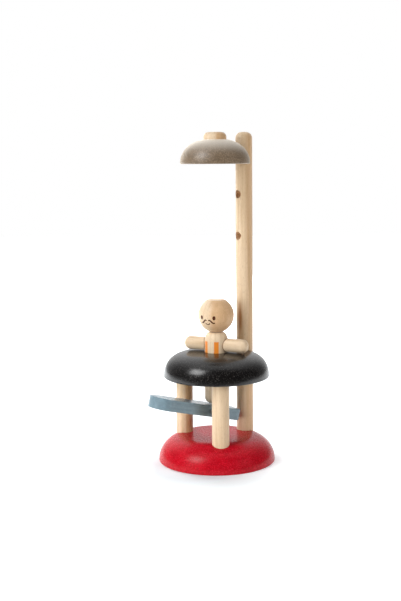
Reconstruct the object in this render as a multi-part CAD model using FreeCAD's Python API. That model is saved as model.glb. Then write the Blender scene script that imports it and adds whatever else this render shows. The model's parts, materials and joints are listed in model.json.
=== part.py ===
"""Wooden jumping acrobat toy: a stand, a rocker lever, a thrown figure and a hat to catch.

Millimetres, +Z up. The origin is the centre of the base's underside. The long pole
stands on +X, the lever's handle points along -X, and the two short posts stand at
-X either side of it. The figure hangs through the middle of the deck on the Z axis.
"""
import FreeCAD, Part
import math
import os

from FreeCAD import Vector

# Clearances
glue_gap = 0.05          # radial, between pieces that are glued together
running_gap = 0.05       # radial, for a pin that turns or slides in its hole
rest_gap = 0.3           # between moving pieces that lie against each other
deck_hole_gap = 0.8      # radial, round the figure's body where it passes the deck
hat_stop_gap = 0.35      # between the thrown head and the hat, also with the hat drawn out

# Base disc
base_radius = 55.0
base_height = 23.6
base_flat_radius = 30.4
base_edge_round = 0.6
base_socket_depth = 14.0

# Deck disc
deck_radius = 50.0
deck_height = 23.5
deck_fullness = 5.0          # power of the curve of its crowned back, square for more
deck_edge_round = 1.2
crown_point_count = 13       # points that the crowned curve passes through
deck_socket_depth = 10.0
deck_clear_height = 56.2     # from the base's top to the deck's underside

# Dowels that carry the deck
post_radius = 8.0
post_circle_radius = 33.8
post_angle_deg = 120.0
pole_rise = 206.8            # from the deck's top to the pole's top
pole_top_round = 6.0
peg_hole_radius = 4.0
peg_hole_depth = 10.0
peg_hole_count = 3
peg_hole_pitch = 39.5
peg_hole_drop = 19.5         # from the pole's top down to the first hole

# Screws that pull the dowels into the base
screw_shank_radius = 2.0
screw_head_radius = 3.9
screw_head_height = 2.6
screw_length = 22.0
screw_sink = 0.6
screw_tip_length = 4.0
screw_hole_gap = 0.1
screw_slot_share = 0.55      # how far the driver cross reaches across the head
screw_slot_width = 0.8
screw_slot_depth = 1.4

# Rocker lever and its axle
lever_width = 28.6
lever_thickness = 10.5
lever_handle_reach = 58.1    # from the axle to the round end
lever_far_reach = 37.6       # from the axle to the square end
lever_corner_round = 6.8
lever_edge_round = 0.7
lever_tilt_deg = 14.4        # handle end up, at rest
axle_height = 27.3           # above the base's top
axle_radius = 1.5
axle_hole_depth = 10.0
axle_end_gap = 0.3

# Figure
figure_turn_deg = 28.0       # from facing straight away from the pole
torso_radius = 11.0
torso_bottom_round = 6.0     # height of the rounded lower end
torso_bottom_flat_radius = 2.0
shoulder_height = 8.5
shoulder_flat_radius = 5.5
shoulder_above_arms = 12.2   # from the arms' axis to the top of the torso
head_radius = 16.8
head_bottom_drop = 15.9      # from the head's centre to the flat on the torso
head_top_rise = 14.65        # from the head's centre to the flat crown
head_crown_round = 0.6
arm_radius = 6.35
arm_span = 65.0
arm_end_round = 5.4
neck_dowel_radius = 4.0
neck_dowel_in_head = 10.0
neck_dowel_in_torso = 5.0
magnet_radius = 5.0
magnet_height = 3.0
plug_height = 2.0

# Hat
hat_radius = 32.8
hat_height = 22.9
hat_flat_radius = 8.0
hat_edge_round = 0.8
hat_mouth_radius = 29.6
hat_cavity_depth = 8.5
hat_recess_radius = 11.0
hat_recess_height = 11.5     # from the rim to the roof of the round recess
hat_pole_gap = 0.3
hat_slide = 9.0              # travel that draws the peg out of the pole
knob_radius = 10.7
knob_height = 6.8
knob_round = 4.8
stem_radius = 7.0
stem_face_rise = 6.75        # from the rim to the stem's end
peg_free_length = 8.5        # out of the hat's groove
peg_seat_length = 9.2        # inside the hat
peg_above_rim = 10.7
peg_tip_chamfer = 0.7
keeper_head_radius = 2.3
keeper_head_height = 1.5
keeper_shank_radius = 1.25
keeper_length = 16.0
keeper_tip_length = 2.5
keeper_sink = 0.3
keeper_slot_width = 0.6
keeper_slot_depth = 0.8

# Heights that follow
base_top = base_height
deck_underside = base_top + deck_clear_height
deck_top = deck_underside + deck_height
pole_top = deck_top + pole_rise
socket_floor = base_top - base_socket_depth
socket_roof = deck_underside + deck_socket_depth
axle_z = base_top + axle_height
arm_axis_z = deck_top + rest_gap + arm_radius
torso_top = arm_axis_z + shoulder_above_arms
head_centre_z = torso_top + head_bottom_drop
head_top = head_centre_z + head_top_rise
peg_z = pole_top - peg_hole_drop
hat_rim = peg_z - peg_above_rim
hat_top = hat_rim + hat_height

# Places of the dowels seen from above
post_angle = math.radians(post_angle_deg)
pole_place = Vector(post_circle_radius, 0, 0)
left_place = Vector(post_circle_radius * math.cos(post_angle), post_circle_radius * math.sin(post_angle), 0)
right_place = Vector(left_place.x, -left_place.y, 0)
axle_x = left_place.x

# The figure's lowest point lies on the sloping top of the lever
lever_slope = math.tan(math.radians(lever_tilt_deg))
lever_top_at_axis = (
    axle_z
    + lever_slope * axle_x
    + lever_thickness / 2 / math.cos(math.radians(lever_tilt_deg))
)
torso_bottom_reach = torso_radius - torso_bottom_flat_radius
torso_bottom_centre = (
    lever_top_at_axis
    + rest_gap
    + lever_slope * torso_bottom_flat_radius
    + math.hypot(torso_bottom_round, lever_slope * torso_bottom_reach)
)
torso_bottom = torso_bottom_centre - torso_bottom_round

UP = Vector(0, 0, 1)
AXIS_FOOT = Vector(0, 0, 0)


def line(r1, z1, r2, z2):
    """A straight edge in the half plane that is turned about Z."""
    return Part.LineSegment(Vector(r1, 0, z1), Vector(r2, 0, z2)).toShape()


def quarter(centre_r, centre_z, reach_r, reach_z):
    """A quarter of an ellipse, or of a circle, between its two axes."""
    centre = Vector(centre_r, 0, centre_z)
    side = Vector(centre_r + reach_r, 0, centre_z)
    tip = Vector(centre_r, 0, centre_z + reach_z)
    if math.isclose(reach_r, abs(reach_z)):
        share = math.sqrt(0.5)
        middle = Vector(centre_r + reach_r * share, 0, centre_z + reach_z * share)
        return Part.Arc(side, middle, tip).toShape()
    if reach_r > abs(reach_z):
        curve = Part.Ellipse(side, tip, centre)
    else:
        curve = Part.Ellipse(tip, side, centre)
    return curve.toShape(0, math.pi / 2)


def turned(edges):
    """The solid that a closed outline makes when it is turned about Z."""
    wire = Part.Wire(Part.__sortEdges__(edges))
    return Part.Face(wire).revolve(AXIS_FOOT, UP, 360)


def rod(radius, foot, direction, length):
    return Part.makeCylinder(radius, length, foot, direction)


def domed_disc(radius, height, flat_radius, edge_round, foot_z):
    """A turned disc with a flat underside, a rounded shoulder and a flat top."""
    edge_z = foot_z + edge_round
    return turned([
        line(0, foot_z, radius - edge_round, foot_z),
        quarter(radius - edge_round, edge_z, edge_round, -edge_round),
        quarter(flat_radius, edge_z, radius - flat_radius, height - edge_round),
        line(flat_radius, foot_z + height, 0, foot_z + height),
        line(0, foot_z + height, 0, foot_z),
    ])


def crowned_disc(radius, height, fullness, edge_round, foot_z):
    """A turned disc with a flat underside and a back that is crowned right to its middle."""
    edge_z = foot_z + edge_round
    back = []
    for step in range(crown_point_count):
        share = math.sin(math.pi / 2 * step / (crown_point_count - 1))
        drop = math.sqrt(max(0.0, 1 - share ** fullness))
        back.append(Vector(radius * share, 0, edge_z + (height - edge_round) * drop))
    crown = Part.BSplineCurve()
    crown.interpolate(Points=back, InitialTangent=Vector(1, 0, 0), FinalTangent=Vector(0, 0, -1))
    return turned([
        line(0, foot_z, radius - edge_round, foot_z),
        quarter(radius - edge_round, edge_z, edge_round, -edge_round),
        crown.toShape(),
        line(0, foot_z + height, 0, foot_z),
    ])


def countersunk_screw(head_radius, head_height, shank_radius, length, tip_length, slot):
    """A wood screw with its flat head at Z 0 and its tip pointing up."""
    slot_width, slot_depth = slot
    shank_end = length - tip_length
    body = turned([
        line(0, 0, head_radius, 0),
        line(head_radius, 0, shank_radius, head_height),
        line(shank_radius, head_height, shank_radius, shank_end),
        line(shank_radius, shank_end, 0, length),
        line(0, length, 0, 0),
    ])
    reach = head_radius * screw_slot_share
    along = Part.makeBox(2 * reach, slot_width, slot_depth, Vector(-reach, -slot_width / 2, 0))
    across = Part.makeBox(slot_width, 2 * reach, slot_depth, Vector(-slot_width / 2, -reach, 0))
    return body.cut(along.fuse(across))


def screw_clearance(head_radius, head_height, shank_radius, length, sink):
    """The hole that a countersunk screw lies in, its head sunk below the face at Z 0."""
    wide = head_radius + screw_hole_gap
    narrow = shank_radius + screw_hole_gap
    return turned([
        line(0, 0, wide, 0),
        line(wide, 0, wide, sink),
        line(wide, sink, narrow, sink + head_height),
        line(narrow, sink + head_height, narrow, sink + length),
        line(narrow, sink + length, 0, sink + length),
        line(0, sink + length, 0, 0),
    ])


def make_base():
    base = domed_disc(base_radius, base_height, base_flat_radius, base_edge_round, 0)
    for place in (pole_place, left_place, right_place):
        socket = rod(post_radius + glue_gap, place + UP * socket_floor, UP, base_height)
        base = base.cut(socket).cut(post_screw_hole(place))
    return base


def post_screw_hole(place):
    hole = screw_clearance(screw_head_radius, screw_head_height, screw_shank_radius, screw_length, screw_sink)
    return hole.translate(place)


def make_deck():
    deck = crowned_disc(deck_radius, deck_height, deck_fullness, deck_edge_round, deck_underside)
    past_top = 2 * deck_height
    body_hole = rod(torso_radius + deck_hole_gap, UP * deck_underside, UP, past_top)
    pole_hole = rod(post_radius + glue_gap, pole_place + UP * deck_underside, UP, past_top)
    deck = deck.cut(body_hole).cut(pole_hole)
    for place in (left_place, right_place):
        deck = deck.cut(rod(post_radius + glue_gap, place + UP * deck_underside, UP, deck_socket_depth))
    return deck


def make_pole():
    shoulder = pole_top - pole_top_round
    pole = turned([
        line(0, socket_floor, post_radius, socket_floor),
        line(post_radius, socket_floor, post_radius, shoulder),
        quarter(post_radius - pole_top_round, shoulder, pole_top_round, pole_top_round),
        line(post_radius - pole_top_round, pole_top, 0, pole_top),
        line(0, pole_top, 0, socket_floor),
    ]).translate(pole_place)
    mouth_x = post_circle_radius - post_radius
    for index in range(peg_hole_count):
        mouth = Vector(mouth_x, 0, peg_z - index * peg_hole_pitch)
        pole = pole.cut(rod(peg_hole_radius, mouth, Vector(1, 0, 0), peg_hole_depth))
    return pole.cut(post_screw_hole(pole_place))


def make_post(place):
    """A short dowel between the base and the deck, with a blind hole for the axle."""
    post = rod(post_radius, place + UP * socket_floor, UP, socket_roof - socket_floor)
    inward = Vector(0, -math.copysign(1, place.y), 0)
    floor = axle_hole_floor(place)
    hole = rod(axle_radius + running_gap, floor, inward, axle_hole_depth + post_radius)
    return post.cut(hole).cut(post_screw_hole(place))


def axle_hole_floor(place):
    side = math.copysign(1, place.y)
    return Vector(place.x, place.y + side * (axle_hole_depth - post_radius), axle_z)


def make_post_screws():
    slot = (screw_slot_width, screw_slot_depth)
    screw = countersunk_screw(
        screw_head_radius, screw_head_height, screw_shank_radius, screw_length, screw_tip_length, slot
    )
    places = (pole_place, left_place, right_place)
    return Part.makeCompound([screw.translated(place + UP * screw_sink) for place in places])


def make_lever():
    """A flat bar with a round handle end, tilted about the axle."""
    half = lever_width / 2
    far = lever_far_reach
    corner = lever_corner_round
    share = corner * (1 - math.sqrt(0.5))
    handle = half - lever_handle_reach
    outline = Part.Wire(Part.__sortEdges__([
        Part.LineSegment(Vector(handle, -half, 0), Vector(far - corner, -half, 0)).toShape(),
        Part.Arc(
            Vector(far - corner, -half, 0),
            Vector(far - share, share - half, 0),
            Vector(far, corner - half, 0),
        ).toShape(),
        Part.LineSegment(Vector(far, corner - half, 0), Vector(far, half - corner, 0)).toShape(),
        Part.Arc(
            Vector(far, half - corner, 0),
            Vector(far - share, half - share, 0),
            Vector(far - corner, half, 0),
        ).toShape(),
        Part.LineSegment(Vector(far - corner, half, 0), Vector(handle, half, 0)).toShape(),
        Part.Arc(
            Vector(handle, half, 0), Vector(-lever_handle_reach, 0, 0), Vector(handle, -half, 0)
        ).toShape(),
    ]))
    bar = Part.Face(outline).extrude(UP * lever_thickness)
    rims = [edge for edge in bar.Edges if abs(edge.BoundBox.ZLength) < glue_gap]
    bar = bar.makeFillet(lever_edge_round, rims)
    bar.translate(UP * (-lever_thickness / 2))
    bar = bar.cut(rod(axle_radius + glue_gap, Vector(0, -lever_width, 0), Vector(0, 1, 0), 2 * lever_width))
    bar.rotate(AXIS_FOOT, Vector(0, 1, 0), lever_tilt_deg)
    return bar.translate(Vector(axle_x, 0, axle_z))


def make_lever_axle():
    half_length = axle_hole_floor(left_place).y - axle_end_gap
    foot = Vector(axle_x, -half_length, axle_z)
    return rod(axle_radius, foot, Vector(0, 1, 0), 2 * half_length)


def arm_direction():
    """The arms point across the way the figure faces."""
    turn = math.radians(figure_turn_deg)
    return Vector(math.sin(turn), -math.cos(turn), 0)


def make_torso():
    shoulder_z = torso_top - shoulder_height
    torso = turned([
        line(0, torso_bottom, torso_bottom_flat_radius, torso_bottom),
        quarter(torso_bottom_flat_radius, torso_bottom_centre, torso_bottom_reach, -torso_bottom_round),
        line(torso_radius, torso_bottom_centre, torso_radius, shoulder_z),
        quarter(shoulder_flat_radius, shoulder_z, torso_radius - shoulder_flat_radius, shoulder_height),
        line(shoulder_flat_radius, torso_top, 0, torso_top),
        line(0, torso_top, 0, torso_bottom),
    ])
    across = arm_direction()
    arm_hole = rod(arm_radius + glue_gap, UP * arm_axis_z - across * arm_span, across, 2 * arm_span)
    socket_foot = UP * (torso_top - neck_dowel_in_torso)
    socket = rod(neck_dowel_radius + glue_gap, socket_foot, UP, neck_dowel_in_torso)
    return torso.cut(arm_hole).cut(socket)


def make_arms():
    across = arm_direction()
    arms = rod(arm_radius, UP * arm_axis_z - across * (arm_span / 2), across, arm_span)
    rims = [edge for edge in arms.Edges if isinstance(edge.Curve, Part.Circle)]
    return arms.makeFillet(arm_end_round, rims)


def make_head():
    """A ball with a flat where it sits on the torso and a flat crown over the magnet."""
    foot_z = head_centre_z - head_bottom_drop
    foot_radius = math.sqrt(head_radius ** 2 - head_bottom_drop ** 2)
    crown_radius = math.sqrt(head_radius ** 2 - head_top_rise ** 2)
    cheek = Part.Arc(
        Vector(foot_radius, 0, foot_z),
        Vector(head_radius, 0, head_centre_z),
        Vector(crown_radius, 0, head_top),
    ).toShape()
    head = turned([
        line(0, foot_z, foot_radius, foot_z),
        cheek,
        line(crown_radius, head_top, 0, head_top),
        line(0, head_top, 0, foot_z),
    ])
    rings = [edge for edge in head.Edges if isinstance(edge.Curve, Part.Circle)]
    crown = [edge for edge in rings if math.isclose(edge.BoundBox.ZMin, head_top, abs_tol=glue_gap)]
    head = head.makeFillet(head_crown_round, crown)
    socket = rod(neck_dowel_radius + glue_gap, UP * foot_z, UP, neck_dowel_in_head)
    pocket_depth = magnet_height + plug_height
    pocket = rod(magnet_radius + glue_gap, UP * (head_top - pocket_depth), UP, pocket_depth)
    return head.cut(socket).cut(pocket)


def make_neck_dowel():
    length = neck_dowel_in_head + neck_dowel_in_torso
    return rod(neck_dowel_radius, UP * (torso_top - neck_dowel_in_torso), UP, length)


def make_head_magnet():
    return rod(magnet_radius, UP * (head_top - plug_height - magnet_height), UP, magnet_height)


def make_head_plug():
    return rod(magnet_radius, UP * (head_top - plug_height), UP, plug_height)


def groove_x():
    """Where the hat's groove for the pole is deepest."""
    return post_circle_radius - post_radius - hat_pole_gap


def make_hat_dome():
    """The brim and crown, hollow underneath, with a groove that straddles the pole."""
    dome = domed_disc(hat_radius, hat_height, hat_flat_radius, hat_edge_round, hat_rim)
    bowl_radius = (hat_mouth_radius ** 2 + hat_cavity_depth ** 2) / (2 * hat_cavity_depth)
    bowl_centre = UP * (hat_rim + hat_cavity_depth - bowl_radius)
    dome = dome.cut(Part.makeSphere(bowl_radius, bowl_centre))
    dome = dome.cut(rod(hat_recess_radius, UP * hat_rim, UP, hat_recess_height))
    dome = dome.cut(rod(stem_radius + glue_gap, UP * hat_rim, UP, hat_height))
    dome = dome.cut(rod(post_radius + hat_pole_gap, pole_place + UP * hat_rim, UP, hat_height))
    seat = Vector(groove_x() - peg_seat_length, 0, peg_z)
    return dome.cut(rod(peg_radius() + glue_gap, seat, Vector(1, 0, 0), hat_radius))


def peg_radius():
    return peg_hole_radius - running_gap


def make_hat_peg():
    foot = Vector(groove_x() - peg_seat_length, 0, peg_z)
    peg = rod(peg_radius(), foot, Vector(1, 0, 0), peg_seat_length + peg_free_length)
    tip_x = groove_x() + peg_free_length
    rings = [edge for edge in peg.Edges if isinstance(edge.Curve, Part.Circle)]
    tip = [edge for edge in rings if math.isclose(edge.BoundBox.XMin, tip_x, abs_tol=glue_gap)]
    return peg.makeChamfer(peg_tip_chamfer, tip)


def make_hat_knob():
    """A button on top whose stem runs down through the hat to its round recess."""
    stem_foot = hat_rim + stem_face_rise
    knob_top = hat_top + knob_height
    knob = turned([
        line(0, stem_foot, stem_radius, stem_foot),
        line(stem_radius, stem_foot, stem_radius, hat_top),
        line(stem_radius, hat_top, knob_radius, hat_top),
        line(knob_radius, hat_top, knob_radius, knob_top - knob_round),
        quarter(knob_radius - knob_round, knob_top - knob_round, knob_round, knob_round),
        line(knob_radius - knob_round, knob_top, 0, knob_top),
        line(0, knob_top, 0, stem_foot),
    ])
    hole = screw_clearance(
        keeper_head_radius, keeper_head_height, keeper_shank_radius, keeper_length, keeper_sink
    )
    return knob.cut(hole.translate(UP * stem_foot))


def make_hat_screw():
    slot = (keeper_slot_width, keeper_slot_depth)
    screw = countersunk_screw(
        keeper_head_radius, keeper_head_height, keeper_shank_radius, keeper_length, keeper_tip_length, slot
    )
    return screw.translate(UP * (hat_rim + stem_face_rise + keeper_sink))


def travel_of_figure():
    """How far the figure rises before its crown would meet the hat's hollow.

    The stop leaves room for the hat to be drawn sideways off the pole.
    """
    crown_radius = math.sqrt(head_radius ** 2 - head_top_rise ** 2)
    bowl_radius = (hat_mouth_radius ** 2 + hat_cavity_depth ** 2) / (2 * hat_cavity_depth)
    reach = crown_radius + hat_slide
    bowl_drop = bowl_radius - math.sqrt(bowl_radius ** 2 - reach ** 2)
    return hat_rim + hat_cavity_depth - bowl_drop - hat_stop_gap - head_top


def report_sizes():
    print("post places", left_place, right_place)
    print("axle height", round(axle_z, 3), "deck top", round(deck_top, 3), "pole top", round(pole_top, 3))
    print("torso", round(torso_bottom, 3), round(torso_top, 3), "head top", round(head_top, 3))
    print("hat rim", round(hat_rim, 3), "peg height", round(peg_z, 3), "travel", round(travel_of_figure(), 3))


def main():
    os.makedirs("parts", exist_ok=True)
    makers = {
        "base": make_base,
        "deck": make_deck,
        "pole": make_pole,
        "left_post": lambda: make_post(left_place),
        "right_post": lambda: make_post(right_place),
        "post_screws": make_post_screws,
        "lever": make_lever,
        "lever_axle": make_lever_axle,
        "torso": make_torso,
        "head": make_head,
        "neck_dowel": make_neck_dowel,
        "arms": make_arms,
        "head_magnet": make_head_magnet,
        "head_plug": make_head_plug,
        "hat_dome": make_hat_dome,
        "hat_knob": make_hat_knob,
        "hat_screw": make_hat_screw,
        "hat_peg": make_hat_peg,
    }
    for node, make in makers.items():
        make().exportStep("parts/" + node + ".step")
    report_sizes()


main()
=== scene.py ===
"""Finish and staging of the wooden acrobat toy: a stand, a rocker lever, a thrown figure and a hat.

Metres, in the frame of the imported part: +Z up along the pole, +X from the middle to the pole.
"""
import json
import math

import bpy
from bpy.props import FloatProperty, FloatVectorProperty, IntProperty, PointerProperty
from mathutils import Matrix, Vector


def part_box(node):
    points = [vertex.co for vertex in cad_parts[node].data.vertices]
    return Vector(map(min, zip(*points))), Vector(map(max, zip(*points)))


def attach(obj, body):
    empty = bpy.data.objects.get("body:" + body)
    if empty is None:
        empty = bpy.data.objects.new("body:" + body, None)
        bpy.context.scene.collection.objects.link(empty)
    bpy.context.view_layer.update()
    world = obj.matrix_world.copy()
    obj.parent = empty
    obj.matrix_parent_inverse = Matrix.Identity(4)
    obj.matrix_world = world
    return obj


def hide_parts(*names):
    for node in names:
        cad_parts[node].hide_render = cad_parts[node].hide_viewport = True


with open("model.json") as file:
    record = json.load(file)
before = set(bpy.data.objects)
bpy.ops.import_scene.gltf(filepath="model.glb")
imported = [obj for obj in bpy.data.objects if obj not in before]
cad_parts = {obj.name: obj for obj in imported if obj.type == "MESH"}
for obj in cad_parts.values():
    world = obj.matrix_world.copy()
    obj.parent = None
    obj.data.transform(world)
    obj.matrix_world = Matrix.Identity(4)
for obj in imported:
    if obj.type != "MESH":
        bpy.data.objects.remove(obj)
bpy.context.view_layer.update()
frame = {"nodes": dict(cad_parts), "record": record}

bl_info = {
    "name": "Wooden Acrobat Toy",
    "version": (1, 0, 0),
    "blender": (4, 5, 0),
    "location": "View3D > Sidebar > Acrobat",
    "description": "Wood, stain, paint, screws and staging for a lever-thrown wooden acrobat",
    "category": "Object",
}

UP = Vector((0, 0, 1))
FULL_TURN = 2 * math.pi
MILLIMETRES = 1000.0
BLACK = (0, 0, 0)
WHITE = (1, 1, 1)

# Directions of the pieces at rest, as azimuths from +X, and of the camera
ARM_AZIMUTH = math.radians(-62)
FACE_AZIMUTH = math.radians(204.2)
VIEW_AZIMUTH = math.radians(-126)       # from the toy's axis towards the camera
LEVER_TILT = math.radians(14.4)         # handle up
HEAD_CENTRE_RISE = 0.0159               # from the flat on the torso to the ball's centre


def bearing(angle):
    """The level direction at an angle from the view direction, to the camera's right."""
    return Vector((math.cos(VIEW_AZIMUTH + angle), math.sin(VIEW_AZIMUTH + angle), 0))


ARM_DIRECTION = Vector((math.cos(ARM_AZIMUTH), math.sin(ARM_AZIMUTH), 0))
LEVER_DIRECTION = Vector((math.cos(LEVER_TILT), 0, -math.sin(LEVER_TILT)))
RIGHT_OF_VIEW = Vector((-math.sin(VIEW_AZIMUTH), math.cos(VIEW_AZIMUTH), 0))


def box_centre(node):
    low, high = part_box(node)
    return (low + high) / 2


def round_radius(node):
    """Radius of a node that is round about an upright axis."""
    low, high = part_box(node)
    return (high.y - low.y) / 2


def mount(name):
    """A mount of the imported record."""
    return next(entry for entry in frame["record"]["mounts"] if entry["name"] == name)


PEG_HOLE = mount("middle_hole")
HOLE_PITCH = PEG_HOLE["pos_m"][2] - mount("lower_hole")["pos_m"][2]

# Settings that a user would change

def colour(name, description, value):
    return FloatVectorProperty(
        name=name, description=description, subtype="COLOR", size=3, min=0, max=1, default=value
    )


def number(name, description, value, **limits):
    return FloatProperty(name=name, description=description, default=value, **limits)


def length(name, description, value):
    return number(name, description, value, unit="LENGTH", min=0, precision=5)


def power(name, description, value):
    return number(name, description, value, unit="POWER", min=0)


def fraction(name, description, value):
    return number(name, description, value, subtype="FACTOR", min=0, max=1)


class WoodSettings(bpy.types.PropertyGroup):
    """Bare wood of the dowels, the figure and the hat's button."""
    light: colour("Light wood", "Early wood, between the rings", (0.81, 0.648, 0.465))
    dark: colour("Dark wood", "Late wood and broad streaks", (0.60, 0.42, 0.235))
    # Tan side: heartwood on the head and the pole, painted shade on the left post and the hat's button
    heart: colour("Heartwood", "Tan side of a piece cut near the heart", (0.56, 0.35, 0.17))
    pore: colour("Pores", "Short dark dashes along the grain", (0.36, 0.21, 0.10))
    streak: colour("Mineral streak", "Brown streak in the pole", (0.36, 0.15, 0.045))
    # Colour of the peg holes' walls, darker and browner than the pole's face
    drilled: colour("Drilled wood", "Burnished walls of the peg holes", (0.76, 0.54, 0.35))
    ring_spacing: length("Ring spacing", "Distance between growth rings", 0.0048)


class StainSettings(bpy.types.PropertyGroup):
    """Stains of the three discs and the lever."""
    red: colour("Red stain", "Base", (0.49, 0.004, 0.013))
    black: colour("Black stain", "Deck", (0.010, 0.009, 0.009))
    grey: colour("Grey stain", "Hat", (0.213, 0.146, 0.09))
    # Paler crown of the hat: partly a painted highlight where the crown catches the pale room, partly
    # stain rubbed thin
    pale: colour("Rubbed stain", "Crown of the hat", (0.60, 0.54, 0.455))
    blue: colour("Blue stain", "Lever", (0.178, 0.262, 0.318))
    chip_size: length("Chip size", "Across one chip of the pressed wood", 0.0006)


class PaintSettings(bpy.types.PropertyGroup):
    """Paint on the figure's body."""
    orange: colour("Trousers", "Braces and trunks", (0.90, 0.29, 0.035))
    brace_width: length("Brace width", "Across one brace", 0.0044)
    brace_top: length("Brace top", "Height of the braces' upper ends", 0.1139)
    neckline: length("Neckline", "Height of the lowest point between the braces", 0.1015)
    hem: length("Hem", "Height of the trunks' lower edge", 0.084)
    brace_angle: number(
        "Brace angle", "From the middle of the chest to each brace", math.radians(30.2), subtype="ANGLE"
    )


class FaceSettings(bpy.types.PropertyGroup):
    """The painted face: two oval eyes, a curled moustache and a small smile."""
    brown: colour("Brown paint", "Eyes, moustache and mouth", (0.075, 0.020, 0.008))
    eye_aside: length("Eye spacing", "From the middle of the face to each eye", 0.0067)
    eye_drop: length("Eye drop", "From the head's middle height down to the eyes", 0.00075)
    eye_height: length("Eye height", "Along one oval eye", 0.0040)
    eye_width: length("Eye width", "Across one oval eye", 0.0030)
    moustache_width: length("Moustache width", "Across the thickest part of the stroke", 0.0015)
    smile_width: length("Smile width", "Across the stroke of the mouth", 0.0010)
    paint_depth: length("Paint depth", "How far the paint stands off the wood", 0.00006)


class PoleSettings(bpy.types.PropertyGroup):
    """The long dowel with its row of peg holes."""
    top_round: length("Rounded top", "Height of the rounding at the pole's top", 0.006)
    hole_radius: length("Hole radius", "Of a peg hole", PEG_HOLE["dims"]["r_mm"] / MILLIMETRES)
    hole_depth: length("Hole depth", "Of a peg hole", PEG_HOLE["dims"]["length_mm"] / MILLIMETRES)
    hole_pitch: length("Hole pitch", "From one peg hole to the next", HOLE_PITCH)
    hole_count: IntProperty(name="Hole count", description="Peg holes down the pole", min=1, default=3)


class ScrewSettings(bpy.types.PropertyGroup):
    """Countersunk wood screws, in shares of their own sizes."""
    thread_depth: fraction("Thread depth", "Share of the shank's radius", 0.28)
    thread_pitch: number("Thread pitch", "In shank radii from one turn to the next", 0.85, min=0.1)
    recess_reach: fraction("Recess reach", "Share of the head's radius", 0.55)


class StageSettings(bpy.types.PropertyGroup):
    """Floor, light and camera."""
    floor: colour("Floor", "Pale floor", (0.83, 0.885, 0.915))
    floor_bounce: colour("Floor bounce", "Tint of light thrown back by the floor", (0.92, 0.84, 0.74))
    floor_reach: length("Floor reach", "From the toy to the floor's sides and far edge", 3.0)
    floor_front: length("Floor front", "From the toy to the floor's near edge", 0.36)
    floor_lift: fraction("Floor lift", "Glow of the floor away from the toy's shadow", 0.44)
    key_power: power("Key light", "Soft light from the upper left", 8.8)
    side_power: power("Side light", "Soft light low on the left", 13)
    rear_power: power("Rear light", "Soft light from behind on the left", 18)
    sheet_power: power("Lit backdrop", "Broad pale sheet behind the toy", 10)
    fill_power: power("Fill light", "Weak light from the right", 9.5)
    ambient: number("Room light", "Even light from all round", 0.06, min=0)
    camera_distance: length("Camera distance", "Level distance from the toy's axis", 0.950)
    camera_height: length("Camera height", "Above the floor", 0.27979)
    lens: number("Lens", "Focal length", 60.853, unit="CAMERA")
    frame_drop: number("Frame drop", "Of the frame below the lens axis, in frame heights", 0.09015)


# Node trees written as sums

def reckoned(operation):
    """The two ways round of writing an operation with values."""
    def forward(self, other):
        return self.steps.math(operation, self, other)

    def backward(self, other):
        return self.steps.math(operation, other, self)
    return forward, backward


class Value:
    """A node's output, to reckon with as a number or a vector."""
    __add__, __radd__ = reckoned("ADD")
    __sub__, __rsub__ = reckoned("SUBTRACT")
    __mul__, __rmul__ = reckoned("MULTIPLY")
    __truediv__, __rtruediv__ = reckoned("DIVIDE")
    __pow__, __rpow__ = reckoned("POWER")

    def __init__(self, steps, socket):
        self.steps = steps
        self.socket = socket

    def part(self, axis):
        """The X, Y or Z of a vector."""
        return self.steps.add("ShaderNodeSeparateXYZ", {0: self})[axis]

    def length(self):
        return self.steps.math("LENGTH", self)

    def from_axis(self):
        """Distance from the Z axis."""
        return (self * (1, 1, 0)).length()

    def stretched(self, across, along):
        """Coordinates squeezed so that a pattern is drawn out along Z."""
        return self * (1 / across, 1 / across, 1 / along)

    def ramp(self, low, high, start=0.0, end=1.0, shape="SMOOTHSTEP"):
        """A step from start to end as the value goes from low to high."""
        values = dict(enumerate((self, low, high, start, end)))
        return self.steps.add("ShaderNodeMapRange", values, interpolation_type=shape)[0]

    def slope(self, low, high):
        """A straight rise from 0 to 1 as the value goes from low to high."""
        return self.ramp(low, high, shape="LINEAR")


class Step:
    """A node, with its outputs as values."""

    def __init__(self, steps, node):
        self.steps = steps
        self.node = node

    def __getitem__(self, key):
        return Value(self.steps, self.node.outputs[key])

    def feed(self, values):
        """Links or sets the inputs. A list goes to an input that takes several links."""
        for key, value in values.items():
            socket = self.node.inputs[key]
            for entry in value if isinstance(value, list) else [value]:
                if isinstance(entry, Value):
                    self.steps.tree.links.new(entry.socket, socket)
                    continue
                if socket.type == "VECTOR" and isinstance(entry, (int, float)):
                    entry = (entry,) * 3
                if socket.type == "RGBA":
                    entry = (*entry, 1.0)
                socket.default_value = entry


def is_vector(value):
    if isinstance(value, Value):
        return value.socket.type in {"VECTOR", "RGBA"}
    return isinstance(value, (tuple, Vector))


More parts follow.
